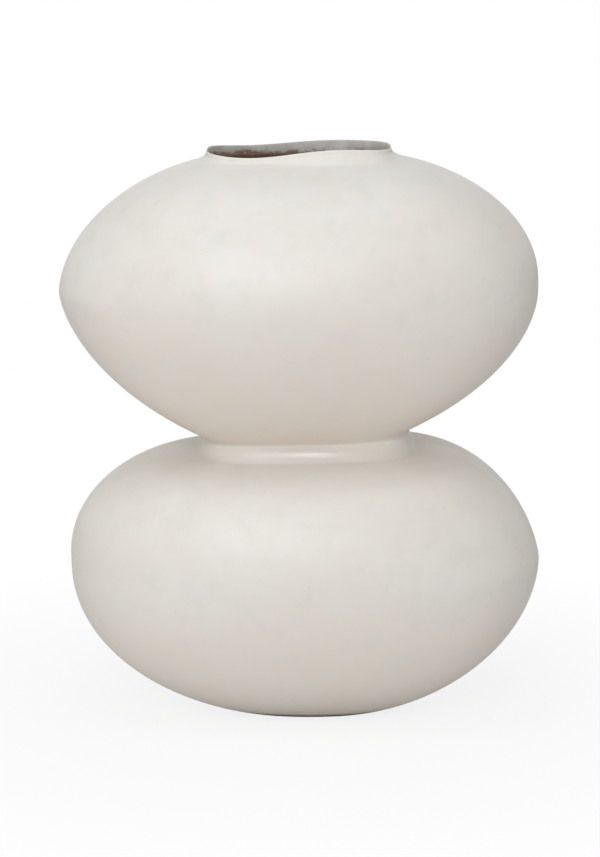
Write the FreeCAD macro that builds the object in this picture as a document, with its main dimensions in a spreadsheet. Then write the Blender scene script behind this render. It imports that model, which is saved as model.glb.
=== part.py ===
import FreeCAD, Part
import Sketcher
import math
import os

# A pillow vase of glazed stoneware: two flattened pillows, one on the other, with a drawn-in waist between
# them and a short mouth with a waved lip. X runs along its width, Y along its depth and Z up from the table.
# The origin is on the table, under the middle of the vase's width and depth. All lengths are in millimetres.
#
# Every level section of the vase is a pillow oval, which is wider than it is deep and a little square.
# The outline between sections is made of the quarters of two pillows and of short flares at waist and mouth.
# The outside is one closed form, the hollow is another, and the clay wall is what lies between them.
# The wall is built from pieces luted together on flat joints, and each piece is a slice of it.
# The upper pillow leans a little to the left, so what is above the waist is measured along the leaning axis.

doc = FreeCAD.newDocument("PillowVase")
sheet = doc.addObject("Spreadsheet::Sheet", "Sizes")

SIZES = [
    # Sections and wall
    ("depth_share", 0.64, "depth of a section against its width"),
    ("pillow_corner_share", 0.80, "how square a pillow's section is"),
    ("neck_corner_share", 1.0, "how square the section is at the waist and the mouth"),
    ("wall", 6.5, "thickness of the clay wall"),
    ("wall_turn_share", 0.3, "part of the wall's thickness that lies sideways on a shoulder"),
    # Foot and base slab
    ("foot_half_width", 38.0, "half width of the foot"),
    ("foot_ring_width", 9.0, "width of the ring that stands on the table"),
    ("recess_depth", 2.0, "depth of the hollow under the foot"),
    ("slab_thickness", 8.0, "thickness of the base slab"),
    ("floor_half_width", 39.0, "half width of the flat floor inside"),
    # Lower pillow
    ("lower_girth_half_width", 124.4, "half width at the widest level"),
    ("lower_girth_height", 82.5, "height of the widest level"),
    ("lower_base_across_share", 1.0, "power that rounds the lower half across"),
    ("lower_base_upward_share", 1.0, "power that rounds the lower half upwards"),
    ("lower_shoulder_half_width", 60.0, "half width where the flare to the waist begins"),
    ("lower_shoulder_rise", 60.2, "height of that place above the widest level"),
    ("lower_top_across_share", 0.535, "power that rounds the upper half across"),
    ("lower_top_upward_share", 1.12, "power that rounds the upper half upwards"),
    # Waist
    ("waist_half_width", 53.7, "half width at the narrowest level"),
    ("waist_rise", 5.7, "height of the narrowest level above the lower pillow's shoulder"),
    ("waist_turn_share", 0.84, "how far down that height the flare turns outwards"),
    ("underside_turn_share", 0.62, "how far up to the upper pillow's underside the flare turns outwards"),
    ("collar_drop", 4.0, "reach of the waist collar below the narrowest level"),
    ("collar_rise", 2.6, "reach of the waist collar above the narrowest level"),
    ("lean_share", 0.018, "sideways lean of the upper pillow against its height"),
    # Upper pillow
    ("upper_base_half_width", 57.2, "half width where the underside begins"),
    ("upper_base_rise", 6.4, "height of that place above the waist"),
    ("upper_girth_half_width", 125.4, "half width at the widest level"),
    ("upper_girth_rise", 78.8, "height of the widest level above the waist"),
    ("upper_base_across_share", 1.07, "power that rounds the lower half across"),
    ("upper_base_upward_share", 1.15, "power that rounds the lower half upwards"),
    ("upper_shoulder_half_width", 57.0, "half width where the flare to the mouth begins"),
    ("upper_shoulder_rise", 65.2, "height of that place above the widest level"),
    ("upper_top_across_share", 0.82, "power that rounds the upper half across"),
    ("upper_top_upward_share", 1.05, "power that rounds the upper half upwards"),
    # Mouth
    ("mouth_half_width", 50.2, "half width that the mouth's flare is drawn in to"),
    ("mouth_rise", 7.3, "height of the lip above the upper pillow's shoulder"),
    ("mouth_turn_share", 0.234, "how far up that height the flare turns upright"),
    ("mouth_joint_share", 0.33, "where on the mouth's flare the collar is joined on"),
    ("lip_half_width", 48.3, "half width over the lip"),
    ("lip_wall", 2.8, "thickness of the lip"),
    ("lip_roll", 2.0, "height of the lip's rounded edge"),
    ("lip_wave", 1.3, "how far the lip's edge swings up and down"),
    ("lip_wave_left_share", 0.47, "how much further it swings at the left, and less at the right"),
    ("lip_wave_front_share", 0.3, "how much further it swings at the front, and less at the back"),
    # Sideways drift of the hand-built sections from the middle of the vase, and above the waist from there
    ("foot_drift", 4.5, "drift of the foot"),
    ("lower_flank_drift", -0.7, "pull on the lower half of the lower pillow"),
    ("lower_girth_drift", 2.2, "drift of the lower pillow's widest level"),
    ("lower_crown_drift", -2.2, "pull on the upper half of the lower pillow"),
    ("lower_shoulder_drift", 4.0, "drift where the flare to the waist begins"),
    ("waist_drift", 3.9, "drift of the waist"),
    ("upper_base_drift", -3.4, "drift of the upper pillow's underside from the waist"),
    ("upper_flank_drift", 0.1, "pull on the lower half of the upper pillow"),
    ("upper_girth_drift", -3.7, "drift of the upper pillow's widest level from the waist"),
    ("upper_crown_drift", -0.3, "pull on the upper half of the upper pillow"),
    ("mouth_drift", -2.3, "drift of the mouth from the waist"),
    # Seam coils
    ("coil_height", 16.0, "height of the coil pressed inside a pillow's joint"),
    ("coil_thickness", 4.0, "thickness of the coil at the joint"),
    ("coil_edge_thickness", 1.4, "thickness of the coil at its edges"),
    # Cutting solids
    ("overrun", 10.0, "how far a cutting solid reaches past what it cuts"),
]
for row, (alias, number, note) in enumerate(SIZES, start=1):
    sheet.set("A%d" % row, str(number))
    sheet.set("B%d" % row, note)
    sheet.setAlias("A%d" % row, alias)
doc.recompute()

# Where sections lie along a half pillow from its widest level, along a flare and across a seam coil
HALF_SHARES = (0.2, 0.4, 0.6, 0.8, 1.0)
FLARE_SHARES = (0.33, 0.67, 1.0)
UNDERSIDE_SHARES = (0.5, 1.0)
COIL_SHARES = (0.1, 0.2)

# The eight poles of a pillow oval, by the side of the centre that they lie on
POLE_SIDES = ((1, 0), (1, 1), (0, 1), (-1, 1), (-1, 0), (-1, -1), (0, -1), (1, -1))
DEGREE = 3

WAIST_HEIGHT = "(Sizes.lower_girth_height + Sizes.lower_shoulder_rise + Sizes.waist_rise)"
COLLAR_JOINT = "(%s - Sizes.collar_drop)" % WAIST_HEIGHT
SHOULDER_HEIGHT = "(Sizes.upper_girth_rise + Sizes.upper_shoulder_rise)"
ROLL_HEIGHT = "(%s + Sizes.mouth_rise - Sizes.lip_roll)" % SHOULDER_HEIGHT
BORE = "(Sizes.lip_half_width - Sizes.lip_wall)"
LEAN = "atan(Sizes.lean_share)"
LEAN_AXIS = FreeCAD.Vector(0, -1, 0)

# The four half pillows: which way each goes from its widest level, its half width at the far end, the height
# that it covers, the pull on its drift and the drift at the far end
HALVES = {
    "lower_base": (-1, "Sizes.foot_half_width", "Sizes.lower_girth_height",
                   "Sizes.lower_flank_drift", "Sizes.foot_drift"),
    "lower_top": (1, "Sizes.lower_shoulder_half_width", "Sizes.lower_shoulder_rise",
                  "Sizes.lower_crown_drift", "Sizes.lower_shoulder_drift"),
    "upper_base": (-1, "Sizes.upper_base_half_width", "(Sizes.upper_girth_rise - Sizes.upper_base_rise)",
                   "Sizes.upper_flank_drift", "Sizes.upper_base_drift"),
    "upper_top": (1, "Sizes.upper_shoulder_half_width", "Sizes.upper_shoulder_rise",
                  "Sizes.upper_crown_drift", "Sizes.mouth_drift"),
}
GIRTH_HEIGHTS = {"lower": "Sizes.lower_girth_height", "upper": "Sizes.upper_girth_rise"}


def value(expression):
    """The number that an expression on the sheet gives."""
    return float(sheet.evalExpression(expression))


def bend(share, start, pull, end):
    """A quadratic curve from start to end, drawn towards pull, at a share of its length."""
    rest = 1 - share
    return "(%s * (%s) + %s * (%s) + %s * (%s))" % (
        rest * rest, start, 2 * rest * share, pull, share * share, end)


def half_station(half, share, depth=None):
    """Half width, height, drift, squareness and inset of a section, at a share of a half pillow's curve.

    An angle goes evenly from nothing, at the widest level, to where its cosine meets the far end's half width.
    The half width is the girth times a power of the cosine, and the climb follows a power of the sine.
    At a depth under the outside the girth is narrower by that depth, and the far end by the part of it that
    lies sideways, except that the lower pillow ends there on its floor.
    """
    side, end, reach, pull, end_drift = HALVES[half]
    pillow = half.split("_")[0]
    girth = "Sizes.%s_girth_half_width" % pillow
    girth_drift = "Sizes.%s_girth_drift" % pillow
    inset = "0"
    if depth:
        girth = "(%s - %s)" % (girth, depth)
        inset = "(%s * %s)" % (depth, bend(share, "1", "1", "Sizes.wall_turn_share"))
        if half == "lower_base":
            end = "Sizes.floor_half_width"
            reach = "(%s - Sizes.slab_thickness)" % reach
        else:
            end = "(%s - Sizes.wall_turn_share * %s)" % (end, depth)
            reach = "(%s - %s)" % (reach, depth)
    full = "acos((%s / %s) ^ (1 / Sizes.%s_across_share))" % (end, girth, half)
    angle = "(%s * %s)" % (share, full)
    half_width = "(%s * cos(%s) ^ Sizes.%s_across_share)" % (girth, angle, half)
    climb = "(%s * (sin(%s) / sin(%s)) ^ Sizes.%s_upward_share)" % (reach, angle, full, half)
    height = "(%s + %d * %s)" % (GIRTH_HEIGHTS[pillow], side, climb)
    corner_share = "Sizes.pillow_corner_share"
    if half != "lower_base":
        corner_share = bend(share, corner_share, corner_share, "Sizes.neck_corner_share")
    return half_width, height, bend(share, girth_drift, pull, end_drift), corner_share, inset


def mouth_station(share):
    """Half width and height of the outside of the mouth, at a share of its flare."""
    half_width = bend(share, "Sizes.upper_shoulder_half_width", "Sizes.mouth_half_width", "Sizes.lip_half_width")
    turn = "%s + Sizes.mouth_turn_share * Sizes.mouth_rise" % SHOULDER_HEIGHT
    return half_width, bend(share, SHOULDER_HEIGHT, turn, ROLL_HEIGHT)


MOUTH_JOINT = mouth_station(value("Sizes.mouth_joint_share"))[1]


def pole_curve(half_width, half_depth, corner_share):
    """A closed cubic spline on eight poles that reaches a half width and a half depth."""
    reach = DEGREE / (2 + corner_share)
    poles = []
    for side_x, side_y in POLE_SIDES:
        share = reach * corner_share if side_x and side_y else reach
        poles.append(FreeCAD.Vector(side_x * share * half_width, side_y * share * half_depth, 0))
    count = len(POLE_SIDES) + 1
    curve = Part.BSplineCurve()
    curve.buildFromPolesMultsKnots(poles, (1,) * count, tuple(range(count)), True, DEGREE)
    return curve


def oval_sketch(name, half_width, corner_share, inset="0"):
    """A pillow oval whose poles are held by the sizes, and which an inset narrows alike in width and depth."""
    half_depth = "((%s) * Sizes.depth_share - (1 - Sizes.depth_share) * (%s))" % (half_width, inset)
    curve = pole_curve(value(half_width), value(half_depth), value(corner_share))
    sketch = doc.addObject("Sketcher::SketchObject", name)
    sketch.addGeometry(curve, False)
    sketch.exposeInternalGeometry(0)
    for number, (pole, sides) in enumerate(zip(curve.getPoles(), POLE_SIDES), start=1):
        share = "(%s)" % corner_share if all(sides) else "1"
        for kind, side, place, reach in (
            ("DistanceX", sides[0], pole.x, half_width),
            ("DistanceY", sides[1], pole.y, half_depth),
        ):
            index = sketch.addConstraint(Sketcher.Constraint(kind, -1, 1, number, DEGREE, place))
            if side:
                sketch.setExpression("Constraints[%d]" % index, "%d * %s * (%s) * %d / (2 + %s)" % (
                    side, share, reach, DEGREE, corner_share))
    return sketch


def lay_level(feature, across, height):
    """Puts a feature at a height above the table."""
    feature.setExpression("Placement.Base.x", across)
    feature.setExpression("Placement.Base.z", height)


def lay_leaning(feature, across, height):
    """Puts a feature at a height above the waist, on the leaning axis of the upper pillow."""
    feature.Placement = FreeCAD.Placement(FreeCAD.Vector(), FreeCAD.Rotation(LEAN_AXIS, value(LEAN)))
    feature.setExpression("Placement.Rotation.Angle", LEAN)
    feature.setExpression("Placement.Base.x", "Sizes.waist_drift + (%s) * cos(%s) - (%s) * sin(%s)" % (
        across, LEAN, height, LEAN))
    feature.setExpression("Placement.Base.z", "%s + (%s) * sin(%s) + (%s) * cos(%s)" % (
        WAIST_HEIGHT, across, LEAN, height, LEAN))


def tip_over(feature, share):
    """Tips a level feature over by the square of a share of the upper pillow's lean."""
    feature.Placement.Rotation = FreeCAD.Rotation(LEAN_AXIS, value(LEAN))
    feature.setExpression("Placement.Rotation.Angle", "%s * %s" % (share * share, LEAN))


def loft(name, sections):
    """A closed solid through sections."""
    solid = doc.addObject("Part::Loft", name)
    solid.Sections = sections
    solid.Solid = True
    return solid


def boolean(kind, name, base, tool):
    """A solid less another, or the part of it that lies inside another."""
    solid = doc.addObject(kind, name)
    solid.Base = base
    solid.Tool = tool
    return solid


def block(name, low, high, lay):
    """A block wider than the vase between two joint heights, laid level or leaning."""
    reach = "(Sizes.lower_girth_half_width + Sizes.upper_girth_half_width)"
    solid = doc.addObject("Part::Box", name)
    solid.setExpression("Length", "2 * %s" % reach)
    solid.setExpression("Width", "2 * %s" % reach)
    solid.setExpression("Height", "%s - (%s)" % (high, low))
    lay(solid, "-%s" % reach, low)
    solid.setExpression("Placement.Base.y", "-%s" % reach)
    return solid


def form(name, wall=None):
    """The closed form of the outside, or of the hollow inside a wall, from the foot to the lip."""
    depth = wall or "0"
    sections = []

    def add(lay, half_width, height, drift, corner_share, inset="0"):
        sketch = oval_sketch("%s_%02d" % (name, len(sections)), half_width, corner_share, inset)
        lay(sketch, drift, height)
        sections.append(sketch)
        return sketch

    for share in reversed(HALF_SHARES):
        add(lay_level, *half_station("lower_base", share, wall))
    # The lower pillow tips over little by little, until its flare stands square to the leaning axis
    for share in (0.0,) + HALF_SHARES:
        tip_over(add(lay_level, *half_station("lower_top", share, wall)), share)

    # The flare up to the waist
    shoulder, shoulder_height, shoulder_drift, neck_corner_share, shoulder_inset = half_station(
        "lower_top", HALF_SHARES[-1], wall)
    waist = "(Sizes.waist_half_width - %s)" % depth
    turn = "%s - Sizes.waist_turn_share * Sizes.waist_rise - %s" % (WAIST_HEIGHT, depth)
    for share in FLARE_SHARES:
        tip_over(add(lay_level, bend(share, shoulder, waist, waist),
                     bend(share, shoulder_height, turn, WAIST_HEIGHT),
                     bend(share, shoulder_drift, "Sizes.waist_drift", "Sizes.waist_drift"),
                     "Sizes.neck_corner_share", bend(share, shoulder_inset, depth, depth)), 1)

    # The flare from the waist out to the upper pillow's underside
    underside, underside_height, underside_drift, neck_corner_share, underside_inset = half_station(
        "upper_base", HALF_SHARES[-1], wall)
    turn = "Sizes.underside_turn_share * Sizes.upper_base_rise + %s" % depth
    for share in UNDERSIDE_SHARES:
        add(lay_leaning, bend(share, waist, waist, underside), bend(share, "0", turn, underside_height),
            "%s * %s" % (share, underside_drift), "Sizes.neck_corner_share",
            bend(share, depth, depth, underside_inset))
    for share in reversed(HALF_SHARES[:-1]):
        add(lay_leaning, *half_station("upper_base", share, wall))
    for share in (0.0,) + HALF_SHARES:
        add(lay_leaning, *half_station("upper_top", share, wall))

    # The flare up to the mouth, which the hollow runs through with upright sides
    if not wall:
        for share in FLARE_SHARES:
            add(lay_leaning, *mouth_station(share), "Sizes.mouth_drift", "Sizes.neck_corner_share")
        return loft(name, sections)
    shoulder, shoulder_height, mouth_drift, neck_corner_share, shoulder_inset = half_station(
        "upper_top", HALF_SHARES[-1], wall)
    for share in FLARE_SHARES:
        add(lay_leaning, bend(share, shoulder, BORE, BORE),
            bend(share, shoulder_height, "%s - Sizes.lip_wall" % MOUTH_JOINT, MOUTH_JOINT),
            mouth_drift, "Sizes.neck_corner_share", bend(share, shoulder_inset, "Sizes.lip_wall", "Sizes.lip_wall"))
    add(lay_leaning, BORE, "%s + Sizes.overrun" % MOUTH_JOINT,
        mouth_drift, "Sizes.neck_corner_share", "Sizes.lip_wall")
    return loft(name, sections)


outside = form("outside")
hollow = form("hollow", "Sizes.wall")
clay_wall = boolean("Part::Cut", "clay_wall", outside, hollow)


def slice_of(name, source, low, high, lay):
    """The piece of a wall between two joints."""
    return boolean("Part::Common", name, source, block("%s_block" % name, low, high, lay))


# Base slab: a disc rolled out flat, with a shallow hollow underneath whose side slopes in
recess_sections = []
for side in (-1, 1):
    ring = "(Sizes.foot_ring_width + %d * Sizes.recess_depth)" % side
    recess_sketch = oval_sketch(
        "recess_section", "Sizes.foot_half_width - %s" % ring, "Sizes.pillow_corner_share", ring)
    lay_level(recess_sketch, "Sizes.foot_drift", "%d * Sizes.recess_depth" % side)
    recess_sections.append(recess_sketch)
recess = loft("recess", recess_sections)
recess.Ruled = True
disc = slice_of("disc", outside, "-Sizes.overrun", "Sizes.slab_thickness", lay_level)
base_slab = boolean("Part::Cut", "base_slab", disc, recess)

# Lower pillow: two halves pressed in moulds and joined at the widest level
lower_bowl = slice_of("lower_bowl", clay_wall, "Sizes.slab_thickness", GIRTH_HEIGHTS["lower"], lay_level)
lower_shoulder = slice_of("lower_shoulder", clay_wall, GIRTH_HEIGHTS["lower"], COLLAR_JOINT, lay_level)

# Waist collar: a ring that is level below and follows the upper pillow's lean above
neck = slice_of("neck", clay_wall, COLLAR_JOINT, "%s + Sizes.upper_girth_rise" % WAIST_HEIGHT, lay_level)
waist_collar = slice_of("waist_collar", neck, "-Sizes.collar_drop - Sizes.overrun", "Sizes.collar_rise", lay_leaning)

# Upper pillow: two halves like those below
upper_bowl = slice_of("upper_bowl", clay_wall, "Sizes.collar_rise", GIRTH_HEIGHTS["upper"], lay_leaning)
upper_shoulder = slice_of("upper_shoulder", clay_wall, GIRTH_HEIGHTS["upper"], MOUTH_JOINT, lay_leaning)


def seam_coil(pillow, lay):
    """A coil of clay pressed over a pillow's joint from inside, thickest at the joint."""
    name = "%s_seam_coil" % pillow
    middle = "(Sizes.wall + Sizes.coil_thickness)"
    edge = "(Sizes.wall + Sizes.coil_edge_thickness)"
    stations = [half_station("%s_base" % pillow, share, edge) for share in reversed(COIL_SHARES)]
    stations.append(half_station("%s_top" % pillow, 0.0, middle))
    stations += [half_station("%s_top" % pillow, share, edge) for share in COIL_SHARES]
    sections = []
    for half_width, height, drift, corner_share, inset in stations:
        sketch = oval_sketch("%s_section" % name, half_width, corner_share, inset)
        lay(sketch, drift, height)
        sections.append(sketch)
    bore = loft("%s_bore" % name, sections)
    band = slice_of("%s_band" % name, hollow, "%s - Sizes.coil_height / 2" % GIRTH_HEIGHTS[pillow],
                    "%s + Sizes.coil_height / 2" % GIRTH_HEIGHTS[pillow], lay)
    return boolean("Part::Cut", name, band, bore)


lower_seam_coil = seam_coil("lower", lay_level)
upper_seam_coil = seam_coil("upper", lay_leaning)

# Mouth collar: a coil drawn up by hand into a short neck, with a rounded lip whose edge is waved.
# Upright profiles stand round the mouth, and a closed skin joins them. The first stands in the middle of the
# back, where the mouth is nearly flat.
PROFILE_COUNT = 32
COLLAR_SHARES = (0.0, 0.25, 0.5, 0.75, 1.0)
ROLL_SHARES = (0.25, 0.5, 0.75)
joint_share = value("Sizes.mouth_joint_share")
joint_height = value(MOUTH_JOINT)
roll_height = value(ROLL_HEIGHT)
lip_roll = value("Sizes.lip_roll")
lip_wave = value("Sizes.lip_wave")
left_share = value("Sizes.lip_wave_left_share")
front_share = value("Sizes.lip_wave_front_share")
drift = FreeCAD.Vector(value("Sizes.mouth_drift"), 0, 0)
flare = []
for share in COLLAR_SHARES:
    station = mouth_station(joint_share + (1 - joint_share) * share)
    flare.append([value(expression) for expression in station])
depth_share = value("Sizes.depth_share")
unit_oval = pole_curve(1, depth_share, value("Sizes.neck_corner_share"))
bore_depth = value("Sizes.lip_half_width * Sizes.depth_share - Sizes.lip_wall")
bore_oval = pole_curve(value(BORE), bore_depth, value("Sizes.neck_corner_share"))
profiles = []
for number in range(PROFILE_COUNT):
    place = (len(POLE_SIDES) * number / PROFILE_COUNT + 1) % len(POLE_SIDES)
    outward = unit_oval.value(place)
    bore = bore_oval.value(place) + drift
    sway_share = 1 - left_share * outward.x - front_share * outward.y / depth_share
    swing = lip_wave * sway_share * math.sin(math.pi * outward.x)
    points = []
    for share, (half_width, height) in zip(COLLAR_SHARES, flare):
        point = outward * half_width + drift
        point.z = height + swing * share
        points.append(point)
    lip = FreeCAD.Vector(points[-1].x, points[-1].y, 0)
    for share in ROLL_SHARES:
        turn = math.pi * share
        point = (lip + bore) / 2 + (lip - bore) * (math.cos(turn) / 2)
        point.z = roll_height + swing + lip_roll * math.sin(turn)
        points.append(point)
    for share in reversed(COLLAR_SHARES):
        height = joint_height + (roll_height + swing - joint_height) * share
        points.append(FreeCAD.Vector(bore.x, bore.y, height))
    side_curve = Part.BSplineCurve()
    side_curve.interpolate(Points=points, Parameters=list(range(len(points))))
    profiles.append(Part.Wire([side_curve.toShape(), Part.makeLine(points[-1], points[0])]))
mouth_collar = doc.addObject("Part::Feature", "mouth_collar")
mouth_collar.Shape = Part.makeLoft(profiles, True, False, True)
lay_leaning(mouth_collar, "0", "0")

SUBPARTS = [base_slab, lower_bowl, lower_shoulder, lower_seam_coil, waist_collar,
            upper_bowl, upper_shoulder, upper_seam_coil, mouth_collar]
doc.recompute()
for feature in doc.Objects:
    if "Invalid" in feature.State or "Error" in feature.State:
        raise RuntimeError("%s failed to recompute" % feature.Label)
for feature in SUBPARTS:
    if feature.Shape.isNull() or not feature.Shape.isValid():
        raise RuntimeError("%s has no valid shape" % feature.Label)

os.makedirs("parts", exist_ok=True)
for feature in SUBPARTS:
    feature.Shape.exportStep("parts/%s.step" % feature.Label)
    print("%s: %d solid, %.0f mm3" % (feature.Label, len(feature.Shape.Solids), feature.Shape.Volume))
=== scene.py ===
import math

import bpy
import numpy as np
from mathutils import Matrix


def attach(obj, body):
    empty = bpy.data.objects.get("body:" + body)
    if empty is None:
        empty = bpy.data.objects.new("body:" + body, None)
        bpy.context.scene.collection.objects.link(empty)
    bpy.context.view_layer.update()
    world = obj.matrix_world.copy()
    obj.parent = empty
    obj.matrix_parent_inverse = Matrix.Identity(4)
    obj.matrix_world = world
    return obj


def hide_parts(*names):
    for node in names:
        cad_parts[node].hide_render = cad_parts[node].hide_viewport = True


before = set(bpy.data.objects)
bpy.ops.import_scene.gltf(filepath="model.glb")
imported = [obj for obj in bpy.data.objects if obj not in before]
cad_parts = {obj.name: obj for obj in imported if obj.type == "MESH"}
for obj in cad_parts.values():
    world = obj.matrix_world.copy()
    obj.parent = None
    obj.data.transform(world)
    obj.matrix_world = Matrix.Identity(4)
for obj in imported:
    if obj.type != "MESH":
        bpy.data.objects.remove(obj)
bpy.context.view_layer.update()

# Base slab. A disc of stoneware rolled out flat, cut to a pillow oval and dished a little underneath, so that
# the vase stands on a ring. The glaze is wiped off just above the table, and the ring and the dish are bare
# clay. Lengths are in millimetres, and the finished points in metres.

MM = 0.001
COLUMNS = 480
DEPTH_SHARE = 0.64
PILLOW_SQUARENESS = 0.80
WALL = 6.5
WALL_TURN_SHARE = 0.3
HAND_UNEVENNESS = 0.0034

FOOT_HALF_WIDTH = 38.0
FOOT_RING_WIDTH = 9.0
FOOT_DRIFT = 4.5
FOOT_GLAZE_LINE = 2.2
FOOT_GLAZE_FADE = 8.0
RECESS_DEPTH = 2.0
SLAB_THICKNESS = 8.0
FLOOR_HALF_WIDTH = 39.0
DISH_FAN_WIDTH = 0.5
TOP_FAN_SHARE = 0.02
LOWER_GIRTH_HALF_WIDTH = 124.4
LOWER_GIRTH_HEIGHT = 82.5
LOWER_GIRTH_DRIFT = 2.2
LOWER_FLANK_DRIFT = -0.7


def spline_sums():
    """For each column, the sums of its four nearest poles' sides, of the straight and of the corner poles.

    The eight poles stand round a square, at its corners and in the middle of its sides. A column lies between
    two knots of a closed cubic spline, and its share f of that way weighs the poles by the cube of 1-f, by
    3f^3-6f^2+4, by -3f^3+3f^2+3f+1 and by the cube of f, all over six.
    """
    poles = np.array([(1, 0), (1, 1), (0, 1), (-1, 1), (-1, 0), (-1, -1), (0, -1), (1, -1)])
    knot, f = np.divmod(np.arange(COLUMNS) * len(poles) / COLUMNS, 1)
    weights = np.stack([(1 - f) ** 3, 3 * f**3 - 6 * f**2 + 4, -3 * f**3 + 3 * f**2 + 3 * f + 1, f**3]) / 6
    sides = poles[(knot.astype(int) + np.arange(4)[:, None]) % len(poles)]
    corner = sides.all(axis=2)
    return [((weights * kind)[..., None] * sides).sum(axis=0).T for kind in (~corner, corner)]


STRAIGHT_SUMS, CORNER_SUMS = spline_sums()


def lay(half_width, half_depth, squareness, across, height, tilt=0.0):
    """Rows of points on pillow ovals. A row's oval has its half width and half depth, is tipped up to the
    right by its tilt, and has its middle at a place across and a height. The corner poles of its spline count
    by the squareness, and all poles are moved out by three over two plus the squareness, so that it just
    reaches."""
    reach = 3 / (2 + squareness)
    x, y = (reach * (straight + squareness * corner) for straight, corner in zip(STRAIGHT_SUMS, CORNER_SUMS))
    return np.stack(np.broadcast_arrays(
        across + half_width * x * np.cos(tilt),
        half_depth * y,
        height + half_width * x * np.sin(tilt),
    ), axis=-1)


def shares(start, end, rows):
    """Even steps from start to end, one to a row."""
    return np.linspace(0, 1, rows)[:, None] * (end - start) + start


def bend(share, start, pull, end):
    """A curve from start to end that is drawn towards pull: their mean, weighed by the squares of one minus
    the share and of the share, and the pull by twice their product."""
    return (1 - share) ** 2 * start + 2 * share * (1 - share) * pull + share**2 * end


def quarter(share, girth, end, reach, across=1.0, upward=1.0):
    """Half width and climb along a quarter of a pillow's outline. An angle grows evenly from nothing at the
    girth to where a power of its cosine brings the girth down to the far end, and the climb is the reach
    times a power of the angle's sine over its greatest."""
    full = np.arccos((end / girth) ** (1 / across))
    return girth * np.cos(share * full) ** across, reach * (np.sin(share * full) / np.sin(full)) ** upward


def quarter_share(climb, girth, end, reach, across=1.0, upward=1.0):
    """The share of a quarter's outline at which it has climbed so far: its formula turned round."""
    full = np.arccos((end / girth) ** (1 / across))
    return float(np.arcsin((climb / reach) ** (1 / upward) * np.sin(full)) / full)


def sway(share, girth, pull, end):
    """How far a pillow's sections lie from the middle: a bend whose share starts off level, as its square
    over itself and a little more, so that the drift turns round smoothly at the girth."""
    level_off = 0.06
    return bend(share**2 * (1 + level_off) / (share + level_off), girth, pull, end)


def inset_depth(half_width, share, depth, edge):
    """Half depth of a section that lies at a depth under the outside. The wall is as thick at the front as at
    the sides, so the depth share holds for the outside only, and the sideways part of the depth goes from all
    to the edge's part along the outline."""
    return half_width * DEPTH_SHARE - (1 - DEPTH_SHARE) * depth * bend(share, 1, 1, edge)


def lower_base_quarter(depth):
    """The quarter's sizes: on the outside it reaches down to the foot, and under the wall to the floor."""
    if depth:
        return LOWER_GIRTH_HALF_WIDTH - depth, FLOOR_HALF_WIDTH, LOWER_GIRTH_HEIGHT - SLAB_THICKNESS
    return LOWER_GIRTH_HALF_WIDTH, FOOT_HALF_WIDTH, LOWER_GIRTH_HEIGHT


def lower_base(share, depth=0.0):
    """The lower pillow from its girth down, as a quarter whose climb is taken from the girth's height."""
    half_width, climb = quarter(share, *lower_base_quarter(depth))
    drift = sway(share, LOWER_GIRTH_DRIFT, LOWER_FLANK_DRIFT, FOOT_DRIFT)
    return lay(half_width, inset_depth(half_width, share, depth, WALL_TURN_SHARE), PILLOW_SQUARENESS,
               drift, LOWER_GIRTH_HEIGHT - climb)


def hand_pressed(points):
    """The points drawn in a little, and nowhere out, as a wall pressed by hand is: towards the upright axis,
    by a small share of their distance that is half its most plus slow sine waves round the vase and up it."""
    x, y, z = np.moveaxis(points, -1, 0)
    turn = np.arctan2(y, DEPTH_SHARE * x)
    waves = (np.sin(2 * turn + z / 47 + 1.3) + np.sin(3 * turn - z / 31 + 0.5)
             + 0.6 * np.sin(5 * turn + z / 19 + 2.1)) / 2.6
    shrink = 1 - HAND_UNEVENNESS * (1 + waves) / 2
    return np.stack([x * shrink, y * shrink, z], axis=-1)


def strip_normals(strip):
    """The normal at each point of a strip of rows: the cross product of the steps round and along it."""
    round_it = np.roll(strip, -1, 1) - np.roll(strip, 1, 1)
    along = np.gradient(strip, axis=0, edge_order=2 if len(strip) > 2 else 1)
    normals = np.cross(round_it, along)
    return normals / np.linalg.norm(normals, axis=-1, keepdims=True)


# Painted shade under the pillows: its share at the table, and the height over which it grows to the whole.
UNDERSIDE_AT_TABLE = 0.3
UNDERSIDE_FADE = 60.0


def face_corners(low, high):
    """Values for the four corners of each face between two sets of rows, from those of their points."""
    return np.stack([low, np.roll(low, -1, 1), np.roll(high, -1, 1), high], axis=2)


def painted_shade_underneath(strip, normal):
    """Painted shade: how far points face down, from nought to one, times a share that grows evenly with
    height to one, because the white table lights what is near it. It tints the glaze warmer, as shade under
    the pillows looks."""
    height_share = np.clip(UNDERSIDE_AT_TABLE + strip[..., 2:] / UNDERSIDE_FADE, 0, 1)
    return np.clip(-normal[..., 2:], 0, 1) * height_share


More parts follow.
